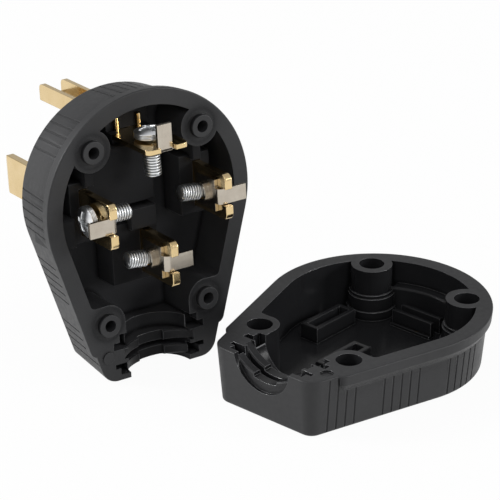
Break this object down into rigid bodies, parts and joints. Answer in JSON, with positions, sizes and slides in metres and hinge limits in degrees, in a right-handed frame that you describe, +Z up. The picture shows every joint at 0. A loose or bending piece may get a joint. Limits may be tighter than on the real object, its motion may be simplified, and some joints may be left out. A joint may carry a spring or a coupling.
{
  "type": "straight blade plug",
  "caption": "Angle plug with straight blades and a U-shaped ground blade, shown open: body with forked screw terminals, and cover with the other half of the cord mouth.",
  "frame": {"origin": "centre of the bounding box's base, on the floor that both halves rest on", "axes": "+Z up; -Y out of the body's parting face, which leans back by its draft; +X to the right as seen from the front, towards the cover"},
  "size_m": [0.1178, 0.1163, 0.0809],
  "materials": {
    "housing": "satin moulded",
    "blades": "polished",
    "screws": "bright zinc plating",
    "clips": "satin plating"
  },
  "bodies": {
    "root": {"body": "housing", "cover": "housing", "left_hot_blade": "blades", "left_hot_screw": "screws", "left_hot_clip": "clips", "right_hot_blade": "blades", "right_hot_screw": "screws", "right_hot_clip": "clips", "neutral_blade": "blades", "neutral_screw": "screws", "neutral_clip": "clips", "ground_blade": "blades", "ground_screw": "screws", "ground_clip": "clips"}
  },
  "joints": []
}
